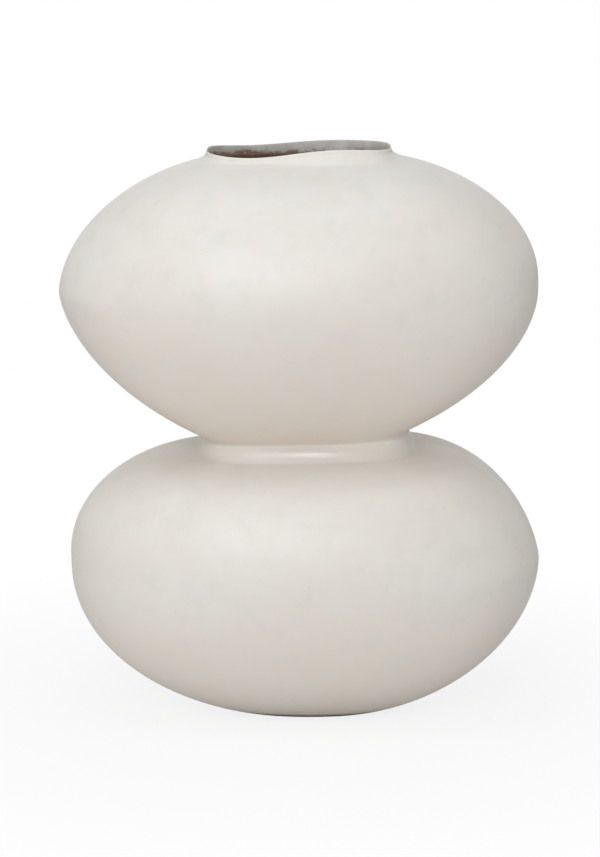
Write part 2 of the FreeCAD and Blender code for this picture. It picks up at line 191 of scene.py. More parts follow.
def skin(name, strips, glaze, ends=False):
    """A closed mesh over strips of rows that follow each other round a piece's profile, each ending on the
    row where the next begins. Its faces join neighbouring rows and columns, and where the profile has ends,
    fans of triangles close them. A corner has the normal of its own strip, so that a strip is smooth up to
    the joint with the next piece and creased against the next strip. The glaze of a point is nought where the
    clay is bare, one where it is glazed, and up to two in the front of the waist's hollow, where painted
    shade darkens it and it is glossier. Each corner also keeps the painted shade of how far it faces down."""
    strips = [hand_pressed(strip) for strip in strips]
    tail = [strips[-1][-1:]] if ends else []
    points = np.concatenate([strip[:-1] for strip in strips] + tail)
    index = np.arange(points.shape[0] * COLUMNS).reshape(-1, COLUMNS)
    low, high = (index[:-1], index[1:]) if ends else (index, np.roll(index, -1, 0))
    faces = face_corners(low, high).reshape(-1, 4).tolist()
    normals = [strip_normals(strip) for strip in strips]
    coats = [np.broadcast_to(coat, strip.shape[:2])[..., None] for coat, strip in zip(glaze, strips)]
    # Painted shade: how far each point faces down, for the warm tint underneath.
    undersides = [painted_shade_underneath(strip, normal) for strip, normal in zip(strips, normals)]
    corners = []
    for parts in (normals, coats, undersides):
        corner = face_corners(np.concatenate([part[:-1] for part in parts]),
                              np.concatenate([part[1:] for part in parts]))
        corners.append([corner.reshape(-1, corner.shape[-1])])
    points = points.reshape(-1, 3)
    if ends:
        for row, normal, coat, step in ((index[0], normals[0][0], coats[0][0], 1),
                                        (index[-1], normals[-1][-1], coats[-1][-1], -1)):
            middle = np.full(COLUMNS, len(points))
            points = np.concatenate([points, points[row].mean(axis=0, keepdims=True)])
            faces += np.stack([middle, np.roll(row, -1), row][::step], axis=-1).tolist()
            upright = np.broadcast_to(normal.mean(axis=0), normal.shape)
            fan_normals = np.stack([upright, np.roll(normal, -1, 0), normal][::step], axis=1)
            corners[0].append(fan_normals.reshape(-1, 3))
            corners[1].append(np.repeat(coat, 3, axis=0))
            corners[2].append(np.zeros((3 * COLUMNS, 1)))
    mesh = bpy.data.meshes.new(name)
    mesh.from_pydata((points * MM).tolist(), [], faces)
    mesh.shade_smooth()
    mesh.normals_split_custom_set(np.concatenate(corners[0]).tolist())
    # The underside attribute carries the painted warm shade, and glaze values above one carry the painted
    # shade of the waist's hollow.
    for attribute, parts in (("glaze", corners[1]), ("underside", corners[2])):
        values = np.concatenate(parts).ravel().astype(np.float32)
        mesh.attributes.new(attribute, "FLOAT", "CORNER").data.foreach_set("value", values)
    piece = bpy.data.objects.new(name, mesh)
    bpy.context.scene.collection.objects.link(piece)
    return piece


def noise(tree, scale, detail=2.0, roughness=0.5, offset=0.0):
    """A cloudy pattern in the piece's own space, with so many clouds to the metre. Its detail and roughness
    break the clouds up, and its offset shifts them, so that no two patterns agree."""
    place = tree.nodes.new("ShaderNodeTexCoord")
    shift = tree.nodes.new("ShaderNodeMapping")
    shift.inputs["Location"].default_value = (offset, offset * 0.7, -offset)
    clouds = tree.nodes.new("ShaderNodeTexNoise")
    clouds.inputs["Scale"].default_value = scale
    clouds.inputs["Detail"].default_value = detail
    clouds.inputs["Roughness"].default_value = roughness
    tree.links.new(place.outputs["Object"], shift.inputs["Vector"])
    tree.links.new(shift.outputs["Vector"], clouds.inputs["Vector"])
    return clouds.outputs["Fac"]


def spread(tree, value, low, high, to_low=0.0, to_high=1.0):
    """A value stretched so that low and high become two other numbers, and held between them."""
    stretch = tree.nodes.new("ShaderNodeMapRange")
    for name, number in (("From Min", low), ("From Max", high), ("To Min", to_low), ("To Max", to_high)):
        stretch.inputs[name].default_value = number
    tree.links.new(value, stretch.inputs["Value"])
    return stretch.outputs["Result"]


def sum_up(tree, *terms):
    """The sum of several values, each times its weight."""
    total = None
    for value, weight in terms:
        part = tree.nodes.new("ShaderNodeMath")
        part.operation = "MULTIPLY_ADD"
        tree.links.new(value, part.inputs[0])
        part.inputs[1].default_value = weight
        part.inputs[2].default_value = 0.0
        if total:
            tree.links.new(total, part.inputs[2])
        total = part.outputs[0]
    return total


def blend_colours(tree, share, first, second):
    """A mix of two colours, or of colours that other nodes give, by a share."""
    mix = tree.nodes.new("ShaderNodeMix")
    mix.data_type = "RGBA"
    tree.links.new(share, mix.inputs[0])
    for colour, socket in ((first, mix.inputs[6]), (second, mix.inputs[7])):
        if isinstance(colour, tuple):
            socket.default_value = (*colour, 1.0)
        else:
            tree.links.new(colour, socket)
    return mix.outputs[2]


DARK_CLAY = (0.125, 0.074, 0.052)
RED_CLAY = (0.205, 0.130, 0.096)
GROG = (0.34, 0.25, 0.19)
CREAM = (0.765, 0.726, 0.662)
COOL_WHITE = (0.775, 0.755, 0.708)
# Painted warm shade for where the glaze faces down.
WARM_PAINTED_SHADE = (0.752, 0.660, 0.575)
PINKISH_GREY = (0.760, 0.710, 0.664)
GREENISH_GREY = (0.703, 0.697, 0.642)
IRON_SPECK = (0.60, 0.55, 0.48)
# Painted shade for the front of the waist's hollow.
PAINTED_WAIST_SHADE = (0.660, 0.628, 0.575)
THIN_GLAZE = (0.25, 0.23, 0.21)
BARE_ROUGHNESS = 0.86
GLAZE_EDGE = (0.615, 0.655)
GLAZE_THICKENS = (0.63, 0.92)
# Glaze values over which the painted shade of the waist's hollow comes in.
WAIST_SHADE_SPAN = (1.0, 1.6)
POOL_SHINES = (1.4, 2.0)
POOL_SHINE = 0.33


def clay_colour(tree):
    """Bare red-brown stoneware, fired dark, with lighter grog in it."""
    body = blend_colours(tree, spread(tree, noise(tree, 45, 4, 0.6, 3.0), 0.35, 0.65), DARK_CLAY, RED_CLAY)
    grog = spread(tree, noise(tree, 900, 1, 0.5, 5.0), 0.66, 0.74)
    return blend_colours(tree, grog, body, GROG)


def attribute_value(tree, name):
    """What a piece's own attribute says at a point."""
    attribute = tree.nodes.new("ShaderNodeAttribute")
    attribute.attribute_name = name
    return attribute.outputs["Fac"]


def add_relief(tree, surface, height, strength, distance):
    """A bump of the surface by a height, at a strength, over a distance in metres."""
    bump = tree.nodes.new("ShaderNodeBump")
    bump.inputs["Strength"].default_value = strength
    bump.inputs["Distance"].default_value = distance
    tree.links.new(height, bump.inputs["Height"])
    tree.links.new(bump.outputs["Normal"], surface.inputs["Normal"])


def glazed_stoneware():
    """Ivory satin glaze over red-brown stoneware. The glaze drifts between cream and a cooler white in clouds
    as long as a hand, and in patches as long as a fingertip between pinkish and greenish grey, with small
    specks of iron. Painted warm shade tints it underneath, and painted shade darkens it in the front of the
    waist's hollow, where it is also glossier. Where it ends, its edge wanders, and it is thin and lets the
    dark clay through before it stops."""
    material = bpy.data.materials.new("ivory_glaze")
    material.use_nodes = True
    tree = material.node_tree
    surface = tree.nodes["Principled BSDF"]
    coat = attribute_value(tree, "glaze")
    edge = sum_up(tree, (coat, 1.0), (noise(tree, 130, 4, 0.6, 7.0), 0.22), (noise(tree, 900, 2), 0.05))
    covered = spread(tree, edge, *GLAZE_EDGE)
    thick = spread(tree, edge, *GLAZE_THICKENS)

    clouds = spread(tree, noise(tree, 9, 2, 0.5, 1.0), 0.38, 0.62)
    tinted = blend_colours(tree, clouds, CREAM, COOL_WHITE)
    # Painted shade: the glaze is tinted warmer where it faces down, with clouds in the share.
    under = sum_up(tree, (attribute_value(tree, "underside"), 1.0), (noise(tree, 14, 2, 0.5, 12.0), 0.6))
    tinted = blend_colours(tree, spread(tree, under, 0.35, 1.15, 0.0, 0.9), tinted, WARM_PAINTED_SHADE)
    patches = spread(tree, noise(tree, 62, 2, 0.55, 2.0), 0.42, 0.66, 0.0, 0.55)
    tinted = blend_colours(tree, patches, tinted, PINKISH_GREY)
    greenish_patches = spread(tree, noise(tree, 85, 2, 0.55, 4.0), 0.50, 0.72, 0.0, 0.50)
    tinted = blend_colours(tree, greenish_patches, tinted, GREENISH_GREY)
    specks = spread(tree, noise(tree, 620, 2, 0.5, 6.0), 0.69, 0.76, 0.0, 0.30)
    tinted = blend_colours(tree, specks, tinted, IRON_SPECK)
    # Painted shade: glaze values from one to two darken the front of the waist's hollow.
    tinted = blend_colours(tree, spread(tree, coat, *WAIST_SHADE_SPAN), tinted, PAINTED_WAIST_SHADE)
    glaze = blend_colours(tree, thick, THIN_GLAZE, tinted)
    tree.links.new(blend_colours(tree, covered, clay_colour(tree), glaze), surface.inputs["Base Color"])

    satin = spread(tree, noise(tree, 40, 3, 0.6, 8.0), 0.35, 0.65, 0.40, 0.48)
    satin = sum_up(tree, (satin, 1.0), (spread(tree, coat, *POOL_SHINES), -POOL_SHINE))
    roughness = tree.nodes.new("ShaderNodeMix")
    tree.links.new(covered, roughness.inputs[0])
    roughness.inputs[2].default_value = BARE_ROUGHNESS
    tree.links.new(satin, roughness.inputs[3])
    tree.links.new(roughness.outputs[0], surface.inputs["Roughness"])

    relief = sum_up(tree, (noise(tree, 30, 1, 0.5, 9.0), 0.55), (noise(tree, 110, 2, 0.5, 10.0), 0.10),
                    (noise(tree, 1500, 2), 0.006), (covered, 0.12))
    add_relief(tree, surface, relief, 0.6, 0.0006)
    return material


def glaze_above(points, line, fade):
    """How far glaze covers points that lie above a line: from nought to one over a band round that height."""
    return np.clip(0.5 + (points[..., 2] - line) / fade, 0, 1)


ivory_glaze = glazed_stoneware()
slab_joint = quarter_share(LOWER_GIRTH_HEIGHT - SLAB_THICKNESS, *lower_base_quarter(0.0))


def foot_rows(start, end, low, high, rows):
    """Rows under the foot, inset alike at the sides and the front, from one inset and height to another."""
    inset = shares(start, end, rows)
    return lay(FOOT_HALF_WIDTH - inset, FOOT_HALF_WIDTH * DEPTH_SHARE - inset, PILLOW_SQUARENESS,
               FOOT_DRIFT, shares(low, high, rows))


# The dish and the slab's top go in to a narrow fan of triangles round their middles.
dish_width = FOOT_RING_WIDTH + RECESS_DEPTH
foot_flank = lower_base(shares(1.0, slab_joint, 24))
slab_middle = np.array([FOOT_DRIFT, 0, SLAB_THICKNESS])
slab_top = foot_flank[-1] + (slab_middle - foot_flank[-1]) * shares(0, 1 - TOP_FAN_SHARE, 40)[..., None]
base_slab = skin("glazed_base_slab", [
    foot_rows(FOOT_HALF_WIDTH * DEPTH_SHARE - DISH_FAN_WIDTH, dish_width, RECESS_DEPTH, RECESS_DEPTH, 14),
    foot_rows(dish_width, FOOT_RING_WIDTH, RECESS_DEPTH, 0, 5),
    foot_rows(FOOT_RING_WIDTH, 0, 0, 0, 9),
    foot_flank,
    slab_top,
], [0, 0, 0, glaze_above(foot_flank, FOOT_GLAZE_LINE, FOOT_GLAZE_FADE), 0], ends=True)
base_slab.data.materials.append(ivory_glaze)
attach(base_slab, "root")
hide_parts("base_slab")

# Lower bowl. The lower half of the lower pillow, pressed in a mould and luted to the slab. Inside, the clay
# is left bare, and outside it is glazed from just above the foot.


def wall_strips(outside, inside):
    """The four strips round a wall's profile: its outside, a flat joint, its inside and the other joint."""
    return [outside, np.stack([outside[-1], inside[0]]), inside, np.stack([inside[-1], outside[0]])]


bowl_outside = lower_base(shares(slab_joint, 0, 76))
bowl_inside = lower_base(shares(0, 1, 50), WALL)
lower_bowl = skin("glazed_lower_bowl", wall_strips(bowl_outside, bowl_inside),
                  [glaze_above(bowl_outside, FOOT_GLAZE_LINE, FOOT_GLAZE_FADE), 0, 0, 0])
lower_bowl.data.materials.append(ivory_glaze)
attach(lower_bowl, "root")
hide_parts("lower_bowl")

# Lower shoulder. The upper half of the lower pillow, pressed in a mould and joined to the bowl at the widest
# level, with the first part of the flare up to the waist. Its foot is level, and its top leans a little.

NECK_SQUARENESS = 1.0
LOWER_SHOULDER_HALF_WIDTH = 60.0
LOWER_SHOULDER_RISE = 60.2
LOWER_CROWN_DRIFT = -2.2
LOWER_SHOULDER_DRIFT = 4.0
LOWER_TOP_POWERS = (0.535, 1.12)
WAIST_HALF_WIDTH = 53.7
WAIST_RISE = 5.7
WAIST_DRIFT = 3.9
WAIST_TURN_SHARE = 0.84
WAIST_HEIGHT = LOWER_GIRTH_HEIGHT + LOWER_SHOULDER_RISE + WAIST_RISE
COLLAR_DROP = 4.0
LEAN = math.atan(0.018)
FRONT_DIP = 3.2
# Where the painted shade and the gloss sit in the front of the waist's hollow.
SHADE_AND_GLOSS_HEIGHT = 145.0
SHADE_AND_GLOSS_REACH = 6.0
SHADE_AND_GLOSS_MIDDLE_POWER = 12

column_across, column_back, _ = np.moveaxis(lay(1.0, 1.0, NECK_SQUARENESS, 0.0, 0.0), -1, 0)
column_front = np.clip(-column_back, 0, 1) ** 2


def front_dip(share):
    """How far the lower pillow sinks round the front of the waist, where thumbs pressed it down: in full at a
    share of one, nowhere up to a half, with the square of a sine between, and to the sides by the square of
    how far a column lies to the front."""
    return FRONT_DIP * column_front * np.sin(math.pi * np.clip(share - 0.5, 0, 0.5)) ** 2


def lower_top_quarter(depth):
    """The quarter's sizes, at a depth under the outside, which is less across where the wall turns flat."""
    return (LOWER_GIRTH_HALF_WIDTH - depth, LOWER_SHOULDER_HALF_WIDTH - WALL_TURN_SHARE * depth,
            LOWER_SHOULDER_RISE - depth, *LOWER_TOP_POWERS)


def lower_top(share, depth=0.0):
    """The lower pillow from its girth up to where the flare to the waist begins. On the way it grows squarer,
    and tips over to the upper pillow's lean by the square of the share."""
    half_width, climb = quarter(share, *lower_top_quarter(depth))
    drift = sway(share, LOWER_GIRTH_DRIFT, LOWER_CROWN_DRIFT, LOWER_SHOULDER_DRIFT)
    squareness = bend(share, PILLOW_SQUARENESS, PILLOW_SQUARENESS, NECK_SQUARENESS)
    return lay(half_width, inset_depth(half_width, share, depth, WALL_TURN_SHARE), squareness,
               drift, LOWER_GIRTH_HEIGHT + climb - (0 if depth else front_dip(share)), share**2 * LEAN)


def waist_flare(share, depth=0.0):
    """The flare from the lower shoulder up to the waist, to whose half width, height and drift it bends."""
    inset = depth * WALL_TURN_SHARE
    waist = WAIST_HALF_WIDTH - depth
    turn = WAIST_HEIGHT - WAIST_TURN_SHARE * WAIST_RISE - depth
    half_width = bend(share, LOWER_SHOULDER_HALF_WIDTH - inset, waist, waist)
    half_depth = half_width * DEPTH_SHARE - (1 - DEPTH_SHARE) * bend(share, inset, depth, depth)
    height = bend(share, WAIST_HEIGHT - WAIST_RISE - depth, turn, WAIST_HEIGHT)
    drift = bend(share, LOWER_SHOULDER_DRIFT, WAIST_DRIFT, WAIST_DRIFT)
    dip = 0 if depth else front_dip(1 - share / 2)
    return lay(half_width, half_depth, NECK_SQUARENESS, drift, height - dip, LEAN)


def level_cut(surface, height):
    """For each column, the share at which a rising surface passes a height, found by halving the way."""
    low, high = np.zeros((1, COLUMNS)), np.ones((1, COLUMNS))
    for _ in range(30):
        middle = (low + high) / 2
        under = surface(middle)[..., 2] < height
        low, high = np.where(under, middle, low), np.where(under, high, middle)
    return high


def flare_inside(share):
    """The waist's flare on the inside of the wall."""
    return waist_flare(share, WALL)


def waist_shade_and_gloss(points):
    """How much painted shade and gloss the front of the waist's hollow takes: the square of how far a column
    lies to the front, times the squared cosine of how far a point lies from the hollow's middle, against the
    hollow's reach.
    Half of it goes with a high power of one minus the square of how far a column lies to the side."""
    off = np.clip(np.abs(points[..., 2] - SHADE_AND_GLOSS_HEIGHT) / SHADE_AND_GLOSS_REACH, 0, 1)
    middle = (1 + np.clip(1 - column_across**2, 0, 1) ** SHADE_AND_GLOSS_MIDDLE_POWER) / 2
    return column_front * np.cos(off * math.pi / 2) ** 2 * middle


collar_joint = WAIST_HEIGHT - COLLAR_DROP
outer_cut = level_cut(waist_flare, collar_joint)
inner_cut = level_cut(flare_inside, collar_joint)
pillow_rows = lower_top(shares(0, 1, 62))[:-1]
flare_rows = waist_flare(shares(0, outer_cut, 14))
shoulder_outside = np.concatenate([pillow_rows, flare_rows])
# The flare's glaze values carry the painted shade and gloss of the waist's hollow.
shoulder_glaze = 1 + np.concatenate([np.zeros(pillow_rows.shape[:2]), waist_shade_and_gloss(flare_rows)])
shoulder_inside = np.concatenate([
    flare_inside(shares(inner_cut, 0, 14))[:-1],
    lower_top(shares(1, 0, 40), WALL),
])
lower_shoulder = skin("glazed_lower_shoulder", wall_strips(shoulder_outside, shoulder_inside),
                      [shoulder_glaze, 0, 0, 0])
lower_shoulder.data.materials.append(ivory_glaze)
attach(lower_shoulder, "root")
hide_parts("lower_shoulder")

# Seam coil of the lower pillow. A coil of soft clay pressed over the joint of bowl and shoulder from inside,
# and thinned out with the fingers towards its edges. It is bare, and can be seen only through the mouth.

COIL_HALF_HEIGHT = 8.0
COIL_THICKNESS = 4.0
COIL_EDGE_THICKNESS = 1.4
LOWER_COIL_DABS = 34
DAB_DEPTH = 0.55


def pressed_coil(name, inside, dabs):
    """A band of the wall's inside, and the same band moved in by the coil's thickness. The thickness goes
    from edge to middle as the square of a cosine, less a finger's dab in every so many of its length, deepest
    in the middle of the dab, as half of one minus a cosine."""
    up = shares(-1, 1, len(inside))
    dab = DAB_DEPTH * (1 - np.cos(np.arange(COLUMNS) * 2 * math.pi * dabs / COLUMNS)) / 2
    rise = np.cos(up * math.pi / 2) ** 2
    thickness = COIL_EDGE_THICKNESS + (COIL_THICKNESS - COIL_EDGE_THICKNESS - dab) * rise
    face = inside - strip_normals(inside) * thickness[..., None]
    return skin(name, wall_strips(inside, face[::-1]), [0, 0, 0, 0])


def bare_stoneware():
    """Bare red-brown stoneware with lighter grog, dull, and rough to the touch."""
    material = bpy.data.materials.new("bare_clay")
    material.use_nodes = True
    tree = material.node_tree
    surface = tree.nodes["Principled BSDF"]
    tree.links.new(clay_colour(tree), surface.inputs["Base Color"])
    tree.links.new(spread(tree, noise(tree, 120, 3), 0.3, 0.7, 0.78, 0.92), surface.inputs["Roughness"])
    relief = sum_up(tree, (noise(tree, 260, 4, 0.6), 0.8), (noise(tree, 1300, 2), 0.3))
    add_relief(tree, surface, relief, 0.7, 0.0005)
    return material


bare_clay = bare_stoneware()
below = quarter_share(COIL_HALF_HEIGHT, *lower_base_quarter(WALL))
above = quarter_share(COIL_HALF_HEIGHT, *lower_top_quarter(WALL))
lower_seam = np.concatenate([
    lower_base(shares(below, 0, 9), WALL)[:-1],
    lower_top(shares(0, above, 9), WALL),
])
lower_seam_coil = pressed_coil("lower_seam_coil_pressed", lower_seam, LOWER_COIL_DABS)
lower_seam_coil.data.materials.append(bare_clay)
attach(lower_seam_coil, "root")
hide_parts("lower_seam_coil")

# Waist collar. A ring of clay that joins the two pillows: level below, where it stands on the lower shoulder,
# and square to the upper pillow's lean above. Outside it is the crease of the waist, which the glaze rounds.

COLLAR_RISE = 2.6
UPPER_BASE_HALF_WIDTH = 57.2
UPPER_BASE_RISE = 6.4
UPPER_BASE_DRIFT = -3.4
UNDERSIDE_TURN_SHARE = 0.4
FRONT_SAG = 3.9


def front_sag(share):
    """How far the upper pillow's underside sinks at the front, where it was pressed down on the waist: in
    full where it meets the flare, fading by the fourth power of the share, and to the sides by the square of
    how far a column lies to the front."""
    return FRONT_SAG * column_front * share**4


def lean_over(half_width, half_depth, squareness, drift, height):
    """Rows of the upper pillow: ovals square to its leaning axis, at heights above the waist's middle."""
    return lay(half_width, half_depth, squareness,
               WAIST_DRIFT + drift * math.cos(LEAN) - height * math.sin(LEAN),
               WAIST_HEIGHT + drift * math.sin(LEAN) + height * math.cos(LEAN), LEAN)


def underside_flare(share, depth=0.0):
    """The flare from the waist out to the upper pillow's underside."""
    inset = depth * WALL_TURN_SHARE
    waist = WAIST_HALF_WIDTH - depth
    half_width = bend(share, waist, waist, UPPER_BASE_HALF_WIDTH - inset)
    half_depth = half_width * DEPTH_SHARE - (1 - DEPTH_SHARE) * bend(share, depth, depth, inset)
    height = bend(share, 0, UNDERSIDE_TURN_SHARE * UPPER_BASE_RISE + depth, UPPER_BASE_RISE + depth)
    sag = 0 if depth else front_sag(1.0) * height / UPPER_BASE_RISE
    return lean_over(half_width, half_depth, NECK_SQUARENESS, share * UPPER_BASE_DRIFT, height - sag)


def bend_share(value, pull, end):
    """The share at which a curve bent from nought to end by a pull passes a value: the root of its square."""
    square = end - 2 * pull
    return (-pull + math.sqrt(pull**2 + square * value)) / square


outer_top = bend_share(COLLAR_RISE, UNDERSIDE_TURN_SHARE * UPPER_BASE_RISE, UPPER_BASE_RISE)
inner_top = bend_share(COLLAR_RISE, UNDERSIDE_TURN_SHARE * UPPER_BASE_RISE + WALL, UPPER_BASE_RISE + WALL)
collar_outside = np.concatenate([
    waist_flare(shares(outer_cut, 1, 22))[:-1],
    underside_flare(shares(0, outer_top, 10)),
])
collar_inside = np.concatenate([
    underside_flare(shares(inner_top, 0, 6), WALL)[:-1],
    flare_inside(shares(1, inner_cut, 12)),
])
# Its glaze values carry the painted shade and gloss of the waist's hollow.
waist_collar = skin("glazed_waist_collar", wall_strips(collar_outside, collar_inside),
                    [1 + waist_shade_and_gloss(collar_outside), 0, 0, 0])
waist_collar.data.materials.append(ivory_glaze)
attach(waist_collar, "root")
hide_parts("waist_collar")

# Upper bowl. The lower half of the upper pillow, of the same stoneware, pressed in a mould and luted to the
# waist collar. It is glazed outside and bare inside, and sags a little over the front of the waist.

UPPER_GIRTH_HALF_WIDTH = 125.4
UPPER_GIRTH_RISE = 78.8
UPPER_GIRTH_DRIFT = -3.7
UPPER_FLANK_DRIFT = 0.1
UPPER_BASE_POWERS = (1.07, 1.15)


def upper_base_quarter(depth):
    """The quarter's sizes, at a depth under the outside."""
    return (UPPER_GIRTH_HALF_WIDTH - depth, UPPER_BASE_HALF_WIDTH - WALL_TURN_SHARE * depth,
            UPPER_GIRTH_RISE - UPPER_BASE_RISE - depth, *UPPER_BASE_POWERS)


def upper_base(share, depth=0.0):
    """The upper pillow from its girth down to where the flare of its underside begins."""
    half_width, climb = quarter(share, *upper_base_quarter(depth))
    squareness = bend(share, PILLOW_SQUARENESS, PILLOW_SQUARENESS, NECK_SQUARENESS)
    return lean_over(half_width, inset_depth(half_width, share, depth, WALL_TURN_SHARE), squareness,
                     sway(share, UPPER_GIRTH_DRIFT, UPPER_FLANK_DRIFT, UPPER_BASE_DRIFT),
                     UPPER_GIRTH_RISE - climb - (0 if depth else front_sag(share)))


upper_outside = np.concatenate([
    underside_flare(shares(outer_top, 1, 10))[:-1],
    upper_base(shares(1, 0, 76)),
])
upper_inside = np.concatenate([
    upper_base(shares(0, 1, 48), WALL)[:-1],
    underside_flare(shares(1, inner_top, 12), WALL),
])
upper_bowl = skin("glazed_upper_bowl", wall_strips(upper_outside, upper_inside), [1, 0, 0, 0])
upper_bowl.data.materials.append(ivory_glaze)
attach(upper_bowl, "root")
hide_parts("upper_bowl")

# Upper shoulder. The upper half of the upper pillow, with the first part of the flare up to the mouth. The
# glaze was poured over the lip, and inside it runs down as far as the top of this piece.

UPPER_SHOULDER_HALF_WIDTH = 57.0
UPPER_SHOULDER_RISE = 65.2
UPPER_CROWN_DRIFT = -0.3
UPPER_TOP_POWERS = (0.82, 1.05)
MOUTH_HALF_WIDTH = 50.2
MOUTH_RISE = 7.3
MOUTH_TURN_SHARE = 0.234
MOUTH_JOINT_SHARE = 0.33
MOUTH_DRIFT = -2.3
LIP_HALF_WIDTH = 48.3
LIP_WALL = 2.8
LIP_ROLL = 2.0
MOUTH_GLAZE_LINE = 289.4
MOUTH_GLAZE_FADE = 21.2
MOUTH_GLAZE_DEEP_DOWN = 0.12
MOUTH_GLAZE_GAIN = 0.50
SHOULDER_TOP = UPPER_GIRTH_RISE + UPPER_SHOULDER_RISE


def upper_top_quarter(depth):
    """The quarter's sizes, at a depth under the outside."""
    return (UPPER_GIRTH_HALF_WIDTH - depth, UPPER_SHOULDER_HALF_WIDTH - WALL_TURN_SHARE * depth,
            UPPER_SHOULDER_RISE - depth, *UPPER_TOP_POWERS)


def upper_top(share, depth=0.0):
    """The upper pillow from its girth up to where the flare to the mouth begins."""
    half_width, climb = quarter(share, *upper_top_quarter(depth))
    squareness = bend(share, PILLOW_SQUARENESS, PILLOW_SQUARENESS, NECK_SQUARENESS)
    return lean_over(half_width, inset_depth(half_width, share, depth, WALL_TURN_SHARE), squareness,
                     sway(share, UPPER_GIRTH_DRIFT, UPPER_CROWN_DRIFT, MOUTH_DRIFT), UPPER_GIRTH_RISE + climb)


def mouth_flare(share):
    """Half width and height above the waist along the outside of the mouth's flare: both bend from the
    shoulder to the foot of the lip's roll."""
    turn = SHOULDER_TOP + MOUTH_TURN_SHARE * MOUTH_RISE
    return (bend(share, UPPER_SHOULDER_HALF_WIDTH, MOUTH_HALF_WIDTH, LIP_HALF_WIDTH),
            bend(share, SHOULDER_TOP, turn, SHOULDER_TOP + MOUTH_RISE - LIP_ROLL))


def mouth_outside(share):
    """Rows on the outside of the mouth's flare."""
    half_width, height = mouth_flare(share)
    return lean_over(half_width, half_width * DEPTH_SHARE, NECK_SQUARENESS, MOUTH_DRIFT, height)


def mouth_inside(share):
    """The hollow's flare under the mouth, which bends from the wall's inside into the upright bore."""
    inset = WALL_TURN_SHARE * WALL
    bore = LIP_HALF_WIDTH - LIP_WALL
    half_width = bend(share, UPPER_SHOULDER_HALF_WIDTH - inset, bore, bore)
    half_depth = half_width * DEPTH_SHARE - (1 - DEPTH_SHARE) * bend(share, inset, LIP_WALL, LIP_WALL)
    joint = mouth_flare(MOUTH_JOINT_SHARE)[1]
    height = bend(share, SHOULDER_TOP - WALL, joint - LIP_WALL, joint)
    return lean_over(half_width, half_depth, NECK_SQUARENESS, MOUTH_DRIFT, height)


def mouth_glaze(points):
    """The thin glaze in the mouth, which fades downwards to bare clay over a band round a line."""
    covered = glaze_above(points, MOUTH_GLAZE_LINE, MOUTH_GLAZE_FADE)
    return MOUTH_GLAZE_DEEP_DOWN + MOUTH_GLAZE_GAIN * covered


crown_outside = np.concatenate([
    upper_top(shares(0, 1, 72))[:-1],
    mouth_outside(shares(0, MOUTH_JOINT_SHARE, 7)),
])
crown_inside = np.concatenate([
    mouth_inside(shares(1, 0, 14))[:-1],
    upper_top(shares(1, 0, 44), WALL),
])
upper_shoulder = skin("glazed_upper_shoulder", wall_strips(crown_outside, crown_inside),
                      [1, 0, mouth_glaze(crown_inside), 0])
upper_shoulder.data.materials.append(ivory_glaze)
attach(upper_shoulder, "root")
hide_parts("upper_shoulder")

# Seam coil of the upper pillow. Soft clay pressed with the fingers over the joint of the upper bowl and
# shoulder from inside, like the coil below, and left bare.

UPPER_COIL_DABS = 36

below = quarter_share(COIL_HALF_HEIGHT, *upper_base_quarter(WALL))
above = quarter_share(COIL_HALF_HEIGHT, *upper_top_quarter(WALL))
upper_seam = np.concatenate([
    upper_base(shares(below, 0, 9), WALL)[:-1],
    upper_top(shares(0, above, 9), WALL),
])
upper_seam_coil = pressed_coil("upper_seam_coil_pressed", upper_seam, UPPER_COIL_DABS)
upper_seam_coil.data.materials.append(bare_clay)
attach(upper_seam_coil, "root")
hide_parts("upper_seam_coil")

# Mouth collar. A coil of clay drawn up by hand into a short neck, with a rounded lip whose edge swings up and
# down. The glaze is a little thinner on the crest of the lip, and goes on thinning inside.

LIP_CREST_SHARE = 0.22
LIP_TAPER = 6.0
LIP_TAPER_POWER = 1.35
LIP_THINNING = 0.2
LIP_RIM_SHARE = 0.125
LIP_WAVE = 1.29
LIP_WAVE_LEFT_SHARE = 0.47
LIP_WAVE_FRONT_SHARE = 0.3


